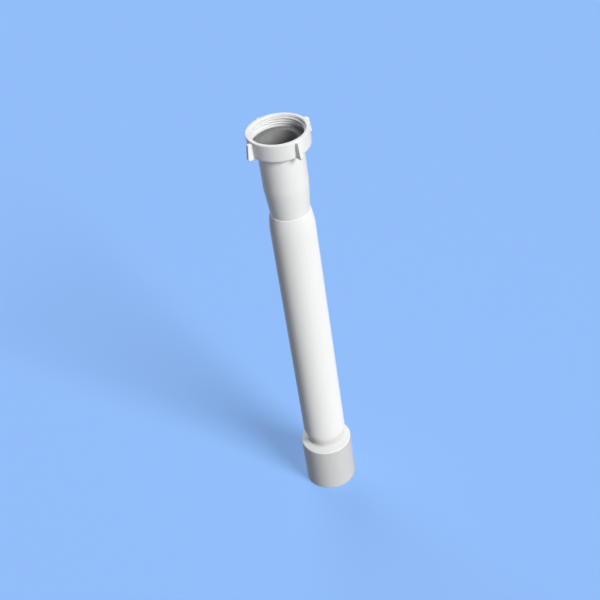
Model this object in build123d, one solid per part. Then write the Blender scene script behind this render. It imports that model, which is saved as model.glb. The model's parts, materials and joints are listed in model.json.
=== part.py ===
from build123d import *
import os

# Flexible waste pipe, standing on its outlet sleeve: a winged union nut turns on a flanged tailpiece,
# the tailpiece is bonded into a soft hose, and the sleeve is pushed on the hose's end up to a stop ring.
# Millimetres, Z up along the pipe, origin at the middle of the sleeve's lower end.

# Outlet sleeve
sleeve_diameter = 50.0
sleeve_height = 49.9
sleeve_wall = 2.5
sleeve_cap = 3.0
lead_in = 0.6
socket_depth = 19.0
socket_wall = 2.0
socket_ledge = 2.0

# Soft hose
hose_diameter = 41.4
hose_wall = 3.7
hose_straight = 246.8
hose_round = 8.0
neck_diameter = 35.2
neck_wall = 2.8
neck_height = 3.6
neck_taper = 9.8
neck_round = 2.0
stop_height = 4.0
stop_edge = 1.0
stop_round = 1.2
stop_root = 0.8
end_taper = 19.0
end_width = 1.6

# Tailpiece
tail_diameter = 40.8
tail_straight = 40.2
tail_taper = 27.8
tail_wall = 2.2
tail_round = 40.0
waist_width = 0.9
spigot_depth = 26.0
spigot_tip = 0.8
flange_thickness = 2.2
bead_height = 0.55
bead_crest = 0.6
bead_ramp = 1.6

# Rubber seal, with a skirt that lines the mouth of the tailpiece
seal_inset = 0.1
seal_thickness = 2.4
skirt_depth = 24.0
skirt_wall = 1.8
seal_round = 0.4

# Union nut, for a pipe thread of one and a half inches
thread_diameter = 47.8
thread_relief = 0.5
nut_height = 17.4
nut_rim_width = 3.0
nut_mouth_chamfer = 0.9
nut_draft = 0.5
nut_rim_round = 0.8
nut_foot_round = 3.2
collar_thickness = 2.6
lug_count = 4
lug_clocking = 30.0
lug_thickness = 3.2
lug_reach = 3.7
lug_flare = 1.8
lug_drop = 1.5
lug_rise = 0.7
lug_corner = 2.2
lug_edge_round = 0.5

# Clearances
bond_gap = 0.1
seal_gap = 0.2
nut_float = 0.3
nut_running = 0.3
flange_to_thread = 1.8
seal_to_thread = 0.5

# Heights along the pipe, from the sleeve's lower end
hose_bottom = sleeve_height - socket_depth
stop_bottom = sleeve_height + bond_gap
stop_top = stop_bottom + stop_height
neck_top = stop_top + neck_height
hose_full = neck_top + neck_taper
hose_shoulder = hose_full + hose_straight
hose_top = hose_shoulder + end_taper
spigot_bottom = hose_top - spigot_depth
tail_full = hose_top + tail_taper
flange_bottom = tail_full + tail_straight
flange_top = flange_bottom + flange_thickness
seal_top = flange_top + seal_thickness
collar_top = flange_bottom - nut_float
nut_bottom = collar_top - collar_thickness
nut_top = nut_bottom + nut_height

# Radii that pieces share
sleeve_radius = sleeve_diameter / 2
hose_radius = hose_diameter / 2
hose_bore = hose_radius - hose_wall
neck_radius = neck_diameter / 2
neck_bore = neck_radius - neck_wall
spigot_radius = hose_bore - bond_gap
tail_radius = tail_diameter / 2
tail_bore = tail_radius - tail_wall
thread_radius = thread_diameter / 2
flange_radius = thread_radius - flange_to_thread


def rounded(outline, rounds=(), arc=None):
    """A flat face from its corners, some of them rounded, closed by a straight line or by an arc."""
    face = make_face([Polyline(*outline), arc] if arc else Polyline(*outline, close=True))
    for corner, radius in rounds:
        face = fillet(face.vertices().sort_by_distance(Vector(*corner))[0], radius)
    return face


def turned(face):
    """A solid of revolution about Z from a face drawn as radius and height."""
    return revolve(Plane.XZ * face, axis=Axis.Z)


def outlet_sleeve():
    """A skirt of the drain's size, with a flat cap and a socket for the hose hung inside it."""
    skirt = sleeve_radius - sleeve_wall
    socket = neck_radius + bond_gap
    socket_outside = socket + socket_wall
    cap_bottom = sleeve_height - sleeve_cap
    ledge_bottom = hose_bottom - socket_ledge
    outline = [
        (socket, sleeve_height),
        (socket, hose_bottom),
        (neck_bore, hose_bottom),
        (neck_bore, ledge_bottom),
        (socket_outside, ledge_bottom),
        (socket_outside, cap_bottom),
        (skirt, cap_bottom),
        (skirt, 0),
        (sleeve_radius - lead_in, 0),
        (sleeve_radius, lead_in),
        (sleeve_radius, sleeve_height),
    ]
    return turned(rounded(outline))


def flexible_hose():
    """A smooth hose that curves in to a thin upper end; below, a neck and a stop ring above the sleeve."""
    end_corner = (hose_radius, hose_shoulder)
    end_tip = (hose_bore + end_width, hose_top)
    end_curve = TangentArc(end_corner, end_tip, tangent=(0, 1))
    full_corner = (hose_radius, hose_full)
    full_inside = (hose_bore, hose_full)
    neck_corner = (neck_radius, neck_top)
    neck_inside = (neck_bore, neck_top)
    root_corner = (neck_radius, stop_top)
    edge_corner = (sleeve_radius, stop_bottom + stop_edge)
    outline = [
        end_tip,
        (hose_bore, hose_top),
        full_inside,
        neck_inside,
        (neck_bore, hose_bottom),
        (neck_radius, hose_bottom),
        (neck_radius, stop_bottom),
        (sleeve_radius, stop_bottom),
        edge_corner,
        root_corner,
        neck_corner,
        full_corner,
        end_corner,
    ]
    rounds = [
        (full_corner, hose_round),
        (full_inside, hose_round),
        (neck_corner, neck_round),
        (neck_inside, neck_round),
        (root_corner, stop_root),
        (edge_corner, stop_round),
    ]
    return turned(rounded(outline, rounds, end_curve))


def tailpiece():
    """A flanged neck that tapers to a shoulder and spigot for the hose, with a low bead under the nut."""
    bead_radius = tail_radius + bead_height
    bead_top = nut_bottom - nut_float
    bead_bottom = bead_top - bead_crest
    spigot_bore = spigot_radius - tail_wall
    tail_corner = (tail_radius, tail_full)
    bore_corner = (tail_bore, tail_full)
    outline = [
        (spigot_bore, spigot_bottom),
        (spigot_radius - spigot_tip, spigot_bottom),
        (spigot_radius, spigot_bottom + 2 * spigot_tip),
        (spigot_radius, hose_top),
        (hose_bore + waist_width, hose_top),
        tail_corner,
        (tail_radius, bead_bottom - bead_ramp),
        (bead_radius, bead_bottom),
        (bead_radius, bead_top),
        (tail_radius, bead_top),
        (tail_radius, flange_bottom),
        (flange_radius, flange_bottom),
        (flange_radius, flange_top),
        (tail_bore, flange_top),
        bore_corner,
        (spigot_bore, hose_top),
    ]
    return turned(rounded(outline, [(tail_corner, tail_round), (bore_corner, tail_round)]))


def rubber_seal():
    """A flat sealing ring on the tailpiece's flange, with a skirt down into its bore."""
    outer = flange_radius - seal_inset
    skirt = tail_bore - seal_gap
    bore = skirt - skirt_wall
    skirt_bottom = flange_top - skirt_depth
    rim_corners = [(outer, flange_top), (outer, seal_top), (bore, seal_top)]
    outline = [(bore, skirt_bottom), (skirt, skirt_bottom), (skirt, flange_top)] + rim_corners
    return turned(rounded(outline, [(corner, seal_round) for corner in rim_corners]))


def union_nut():
    """A threaded nut with a collar under the flange and four flared lugs for turning it by hand."""
    collar_bore = tail_radius + nut_running
    relief = thread_radius + thread_relief
    relief_top = seal_top + seal_to_thread
    mouth = thread_radius + nut_mouth_chamfer
    rim = mouth + nut_rim_width
    foot = rim - nut_draft
    rim_corner = (rim, nut_top)
    foot_corner = (foot, nut_bottom)
    outline = [
        (collar_bore, nut_bottom),
        foot_corner,
        rim_corner,
        (mouth, nut_top),
        (thread_radius, nut_top - nut_mouth_chamfer),
        (thread_radius, relief_top),
        (relief, relief_top),
        (relief, collar_top),
        (collar_bore, collar_top),
    ]
    body = turned(rounded(outline, [(rim_corner, nut_rim_round), (foot_corner, nut_foot_round)]))
    root = (relief + foot) / 2
    lug_top = (rim + lug_reach, nut_top - lug_drop)
    lug_foot = (rim + lug_reach + lug_flare, nut_bottom + lug_rise)
    corners = [(root, lug_foot[1]), lug_foot, lug_top, (root, lug_top[1])]
    side = rounded(corners, [(lug_foot, lug_corner), (lug_top, lug_corner / 2)])
    lug = extrude(Plane.XZ * side, lug_thickness / 2, both=True)
    free_edges = lug.edges().filter_by(lambda edge: edge.center().X > root + 0.1)
    lug = fillet(free_edges.filter_by(lambda edge: edge.length > lug_thickness + 0.01), lug_edge_round)
    nut = body
    for turn in range(lug_count):
        nut += Rot(0, 0, lug_clocking + 360 / lug_count * turn) * lug
    return nut


os.makedirs("parts", exist_ok=True)
nodes = {
    "union_nut": union_nut(),
    "rubber_seal": rubber_seal(),
    "tailpiece": tailpiece(),
    "flexible_hose": flexible_hose(),
    "outlet_sleeve": outlet_sleeve(),
}
for name, solid in nodes.items():
    export_step(solid, f"parts/{name}.step")
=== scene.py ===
import json
import math
from functools import cached_property

import bpy
from mathutils import Matrix, Vector


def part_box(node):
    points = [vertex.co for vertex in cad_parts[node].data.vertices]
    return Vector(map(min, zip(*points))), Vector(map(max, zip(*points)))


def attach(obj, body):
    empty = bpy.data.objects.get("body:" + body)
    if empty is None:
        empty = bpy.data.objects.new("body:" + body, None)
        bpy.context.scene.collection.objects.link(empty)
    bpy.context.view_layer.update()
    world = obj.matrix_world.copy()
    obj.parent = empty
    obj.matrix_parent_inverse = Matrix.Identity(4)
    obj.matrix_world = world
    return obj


# Flexible waste pipe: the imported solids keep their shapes, with finishes of plastic, soft hose and rubber.
# The scene adds the thread inside the union nut, a pale blue floor, soft light and the photograph's camera.
# Lengths are in metres, angles in degrees, and noise scales count cells to the metre.
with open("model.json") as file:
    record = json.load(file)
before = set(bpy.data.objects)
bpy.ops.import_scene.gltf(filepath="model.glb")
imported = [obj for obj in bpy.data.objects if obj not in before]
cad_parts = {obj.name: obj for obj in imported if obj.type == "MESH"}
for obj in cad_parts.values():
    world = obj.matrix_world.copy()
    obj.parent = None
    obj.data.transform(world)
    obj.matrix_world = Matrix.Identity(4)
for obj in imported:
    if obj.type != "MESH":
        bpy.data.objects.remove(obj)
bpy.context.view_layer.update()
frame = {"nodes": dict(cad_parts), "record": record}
nodes = frame["nodes"]
scene = bpy.context.scene

# Thread of one and a half inches, on the wall that the inlet's mount names
inlet = next(mount for mount in frame["record"]["mounts"] if mount["name"] == "inlet_thread")
WALL_MIDDLE = inlet["pos_m"][2]
WALL_LENGTH = inlet["dims"]["length_mm"] / 1000
THREAD_RADIUS = inlet["dims"]["r_mm"] / 1000
THREAD_BOTTOM = WALL_MIDDLE - WALL_LENGTH / 2 + 0.00035
THREAD_TOP = WALL_MIDDLE + WALL_LENGTH / 2 - 0.00015
THREAD_PITCH = 0.002309
THREAD_DEPTH = 0.00145

# Section of its ridge: places across in half widths, and rises in depths, from a foot sunk in the wall
RIDGE_WIDTH = 0.92 * THREAD_PITCH
RIDGE_FLANK = [(1.0, -0.05), (0.42, 0.62), (0.22, 0.93)]
RIDGE_SECTION = [(-across, rise) for across, rise in RIDGE_FLANK] + [(0.0, 1.0)] + RIDGE_FLANK[::-1]
RIDGE_STEPS_PER_TURN = 96
RIDGE_FADE_TURNS = 0.35

# Heights in the neck of the hose, where shade painted into its colour starts, is full, fades and ends
SLEEVE_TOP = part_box("outlet_sleeve")[1].z
GROOVE_START = SLEEVE_TOP + 0.0031
GROOVE_FULL = SLEEVE_TOP + 0.0046
GROOVE_FADE = SLEEVE_TOP + 0.0101
GROOVE_END = SLEEVE_TOP + 0.0161

# Floor and sky: the blue that is seen, and the shares of it that take light and shadow or glow evenly
PALE_BLUE = (0.29, 0.515, 0.965)
FLOOR_PAINT = 0.666
FLOOR_GLOW = 0.45
FLOOR_BOUNCE = (0.3, 0.3, 0.3)
FLOOR_REACH = 40.0
SKY_STRENGTH = 0.09

# Photograph's view, with the lens and sensor in millimetres
CAMERA_PLACE = (-0.00407, -0.89993, 0.93795)
CAMERA_ELEVATION = 38.137
CAMERA_ROLL = 9.15
CAMERA_LENS = 73.47
CAMERA_SENSOR = 36

# Sockets of the mix node that carry colours
MIX_FIRST, MIX_SECOND, MIX_RESULT = 6, 7, 2


class Nodes:
    """A node tree, with helpers that add nodes to it and link them."""

    def __init__(self, tree):
        self.tree = tree

    def feed(self, socket, value):
        """Links an output to an input, or sets a constant on the input itself."""
        if isinstance(value, bpy.types.NodeSocket):
            self.tree.links.new(value, socket)
        else:
            socket.default_value = value

    def add(self, kind, inputs=None, **settings):
        node = self.tree.nodes.new(kind)
        for key, value in settings.items():
            setattr(node, key, value)
        for key, value in (inputs or {}).items():
            self.feed(node.inputs[key], value)
        return node

    def math(self, operation, a, b=0.0):
        return self.add("ShaderNodeMath", {0: a, 1: b}, operation=operation).outputs["Value"]

    def seen(self):
        """One for rays that show the background: from the camera, by reflection or through clear things."""
        path = self.add("ShaderNodeLightPath").outputs
        seen_or_reflected = self.math("MAXIMUM", path["Is Camera Ray"], path["Is Glossy Ray"])
        return self.math("MAXIMUM", seen_or_reflected, path["Is Transmission Ray"])


class Finish(Nodes):
    """A material: a Principled shader, with helpers for the nodes in front of it."""

    def __init__(self, name):
        self.material = bpy.data.materials.new(name)
        self.material.use_nodes = True
        super().__init__(self.material.node_tree)

    @cached_property
    def coords(self):
        """The object's own coordinates."""
        return self.add("ShaderNodeTexCoord").outputs["Object"]

    @cached_property
    def place(self):
        """The same coordinates as outputs X, Y and Z."""
        return self.add("ShaderNodeSeparateXYZ", {"Vector": self.coords}).outputs

    def stretched(self, factors):
        """The object's own coordinates, scaled along each axis."""
        return self.add("ShaderNodeMapping", {"Vector": self.coords, "Scale": factors}).outputs["Vector"]

    def wrapped(self, around, along):
        """Coordinates that run round the pipe and along it, for streaks that follow the hose."""
        angle = self.math("ARCTAN2", self.place["Y"], self.place["X"])
        x = self.math("MULTIPLY", self.math("COSINE", angle), around)
        y = self.math("MULTIPLY", self.math("SINE", angle), around)
        z = self.math("MULTIPLY", self.place["Z"], along)
        return self.add("ShaderNodeCombineXYZ", {"X": x, "Y": y, "Z": z}).outputs["Vector"]

    def noise(self, scale, detail, roughness=0.55, vector=None):
        inputs = {"Scale": scale, "Detail": detail, "Roughness": roughness}
        inputs["Vector"] = self.coords if vector is None else vector
        return self.add("ShaderNodeTexNoise", inputs).outputs["Fac"]

    def remap(self, value, low, high, to_low, to_high):
        inputs = {"Value": value, "From Min": low, "From Max": high, "To Min": to_low, "To Max": to_high}
        return self.add("ShaderNodeMapRange", inputs).outputs["Result"]

    def spread(self, noise, to_low=0.0, to_high=1.0):
        """A noise, which mostly stays within 0.3 to 0.7, spread over another range."""
        return self.remap(noise, 0.3, 0.7, to_low, to_high)

    def blend(self, factor, first, second):
        """A mix of two colours, each an output or plain red, green and blue."""
        colours = [c if isinstance(c, bpy.types.NodeSocket) else (*c, 1) for c in (first, second)]
        inputs = {"Factor": factor, MIX_FIRST: colours[0], MIX_SECOND: colours[1]}
        return self.add("ShaderNodeMix", inputs, data_type="RGBA").outputs[MIX_RESULT]

    def bump(self, height, distance, strength, below=None):
        inputs = {"Height": height, "Distance": distance, "Strength": strength}
        if below is not None:
            inputs["Normal"] = below
        return self.add("ShaderNodeBump", inputs).outputs["Normal"]

    def set(self, **inputs):
        """The material, with these inputs of its shader linked or set."""
        shader = self.tree.nodes["Principled BSDF"]
        for key, value in inputs.items():
            self.feed(shader.inputs[key.replace("_", " ")], value)
        return self.material


def moulded(name, pale, dark, rough):
    """Injection-moulded plastic: faint flow marks in the colour, a fine spark-eroded grain, uneven gloss."""
    f = Finish(name)
    flow = f.noise(scale=55, detail=5, vector=f.stretched((1, 1, 0.35)))
    sinks = f.noise(scale=140, detail=2)
    grain = f.noise(scale=2600, detail=2)
    shine = f.noise(scale=90, detail=3)
    uneven = f.bump(sinks, distance=0.00025, strength=0.25)
    return f.set(
        Base_Color=f.blend(f.spread(flow), pale, dark),
        Roughness=f.spread(shine, rough - 0.05, rough + 0.07),
        Normal=f.bump(grain, distance=0.00004, strength=0.5, below=uneven),
        IOR=1.49,
    )


def extruded(name, pale, dark, neck_shade, rough):
    """Soft extruded hose: fine die lines along it, a slight waviness, and painted shade darkening its neck.
    """
    f = Finish(name)
    lines = f.noise(scale=26, detail=5, roughness=0.65, vector=f.wrapped(around=1.0, along=1.2))
    cloud = f.noise(scale=38, detail=4, vector=f.stretched((1, 1, 0.3)))
    waves = f.noise(scale=70, detail=2)
    patches = f.noise(scale=160, detail=4)
    streaks = f.remap(f.math("MULTIPLY", f.math("ADD", lines, cloud), 0.5), 0.35, 0.65, 0, 1)
    # Painted shade: the hose's colour turns darker in its neck, above the ring, where shade falls, not a
    # grey of the hose itself
    above_ring = f.remap(f.place["Z"], GROOVE_START, GROOVE_FULL, 0, 1)
    below_hose = f.remap(f.place["Z"], GROOVE_FADE, GROOVE_END, 1, 0)
    painted_shade_mask = f.math("MULTIPLY", f.math("MULTIPLY", above_ring, below_hose), f.spread(patches, 0.75, 1))
    wavy = f.bump(waves, distance=0.0004, strength=0.25)
    return f.set(
        Base_Color=f.blend(painted_shade_mask, f.blend(streaks, pale, dark), neck_shade),
        Roughness=f.spread(cloud, rough - 0.05, rough + 0.06),
        Normal=f.bump(lines, distance=0.00012, strength=0.35, below=wavy),
        IOR=1.52,
        Diffuse_Roughness=0.5,
    )


def rubber(name, pale, dark):
    """Moulded rubber: dull, with a fine pebble and a dusty bloom."""
    f = Finish(name)
    bloom = f.noise(scale=120, detail=5)
    pebble = f.noise(scale=1800, detail=3)
    return f.set(
        Base_Color=f.blend(f.spread(bloom), pale, dark),
        Roughness=f.spread(bloom, 0.62, 0.8),
        Normal=f.bump(pebble, distance=0.00008, strength=0.6),
    )


def add_object(name, data):
    """An object of the scene that holds a mesh, a light or a camera."""
    piece = bpy.data.objects.new(name, data)
    scene.collection.objects.link(piece)
    return piece


def add_mesh(name, verts, faces, finish):
    """An object with a mesh and a finish of its own."""
    mesh = bpy.data.meshes.new(name)
    mesh.from_pydata(verts, [], faces)
    mesh.materials.append(finish)
    return add_object(name, mesh)


def helix_ridge(name, finish):
    """A right-hand thread ridge on the nut's wall, fading in and out at its ends."""
    half_width = RIDGE_WIDTH / 2
    climb = THREAD_TOP - THREAD_BOTTOM - RIDGE_WIDTH
    steps = int(climb / THREAD_PITCH * RIDGE_STEPS_PER_TURN)
    fade_steps = RIDGE_FADE_TURNS * RIDGE_STEPS_PER_TURN
    verts = []
    for i in range(steps + 1):
        angle = 2 * math.pi * i / RIDGE_STEPS_PER_TURN
        fade = math.sin(min(1.0, i / fade_steps, (steps - i) / fade_steps) * math.pi / 2)
        middle = THREAD_BOTTOM + half_width + climb * i / steps
        for across, rise in RIDGE_SECTION:
            radius = THREAD_RADIUS - THREAD_DEPTH * (rise * fade if rise > 0 else rise)
            verts.append((radius * math.cos(angle), radius * math.sin(angle), middle + across * half_width))
    n = len(RIDGE_SECTION)
    faces = []
    for start in range(0, steps * n, n):
        for j in range(n):
            a, b = start + j, start + (j + 1) % n
            faces.append((a, b, b + n, a + n))
    first_end = tuple(reversed(range(n)))
    last_end = tuple(range(steps * n, steps * n + n))
    piece = add_mesh(name, verts, faces + [first_end, last_end], finish)
    for polygon in piece.data.polygons:
        polygon.use_smooth = len(polygon.vertices) == 4
    return piece


def floor():
    """A wide plain floor, pale blue where it is seen and neutral in the light that it throws back."""
    f = Finish("floor")
    seen = f.seen()
    finish = f.set(
        Base_Color=f.blend(seen, FLOOR_BOUNCE, [FLOOR_PAINT * part for part in PALE_BLUE]),
        Roughness=0.9,
        Specular_IOR_Level=0.0,
        Emission_Color=(*PALE_BLUE, 1),
        Emission_Strength=f.math("MULTIPLY", seen, FLOOR_GLOW),
    )
    corners = [(x * FLOOR_REACH, y * FLOOR_REACH, 0) for x, y in ((-1, -1), (1, -1), (1, 1), (-1, 1))]
    add_mesh("floor", corners, [(0, 1, 2, 3)], finish)


def sky():
    """A weak neutral light from all round, with the floor's pale blue where it is seen."""
    world = bpy.data.worlds.new("sky")
    world.use_nodes = True
    n = Nodes(world.node_tree)
    light = n.tree.nodes["Background"]
    n.feed(light.inputs["Color"], (1, 1, 1, 1))
    n.feed(light.inputs["Strength"], SKY_STRENGTH)
    backdrop = n.add("ShaderNodeBackground", {"Color": (*PALE_BLUE, 1)})
    both = n.add("ShaderNodeMixShader", {0: n.seen(), 1: light.outputs[0], 2: backdrop.outputs[0]})
    n.feed(n.tree.nodes["World Output"].inputs["Surface"], both.outputs[0])
    scene.world = world


def sun(name, azimuth, elevation, spread, strength):
    """A distant soft light, as from a wide window, from a direction round the pipe."""
    light = bpy.data.lights.new(name, "SUN")
    light.energy = strength
    light.angle = math.radians(spread)
    turn, rise = math.radians(azimuth), math.radians(elevation)
    towards = Vector((math.cos(turn) * math.cos(rise), math.sin(turn) * math.cos(rise), math.sin(rise)))
    add_object(name, light).rotation_euler = towards.to_track_quat("Z", "Y").to_euler()


def camera():
    """The photograph's view, rolled a little so that the pipe leans in the picture."""
    data = bpy.data.cameras.new("camera")
    data.sensor_width = CAMERA_SENSOR
    data.lens = CAMERA_LENS
    tilt = Matrix.Rotation(math.radians(90 - CAMERA_ELEVATION), 4, "X")
    roll = Matrix.Rotation(math.radians(-CAMERA_ROLL), 4, "Z")
    piece = add_object("camera", data)
    piece.matrix_world = Matrix.Translation(CAMERA_PLACE) @ tilt @ roll
    scene.camera = piece


# Finishes of the solids
white = moulded("white_moulded", pale=(0.89, 0.89, 0.875), dark=(0.86, 0.86, 0.842), rough=0.42)
soft_white = extruded(
    "soft_white_hose",
    pale=(0.865, 0.865, 0.85),
    dark=(0.835, 0.835, 0.818),
    # colour of the shade painted into the hose's neck
    neck_shade=(0.66, 0.66, 0.643),
    rough=0.46,
)
grey = moulded("grey_moulded", pale=(0.675, 0.675, 0.66), dark=(0.64, 0.64, 0.623), rough=0.44)
dark_grey = rubber("dark_rubber", pale=(0.29, 0.29, 0.29), dark=(0.24, 0.24, 0.24))
finishes = {
    "union_nut": white,
    "tailpiece": white,
    "flexible_hose": soft_white,
    "outlet_sleeve": grey,
    "rubber_seal": dark_grey,
}
for node, finish in finishes.items():
    nodes[node].data.materials.clear()
    nodes[node].data.materials.append(finish)

# Thread, which turns with the nut
thread = helix_ridge("nut_thread", white)
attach(thread, "nut")

# Floor, light and view
floor()
sky()
sun("key", azimuth=-50, elevation=31, spread=24, strength=3.3)
sun("fill", azimuth=105, elevation=18, spread=50, strength=1.8)
camera()
scene.view_settings.view_transform = "Standard"
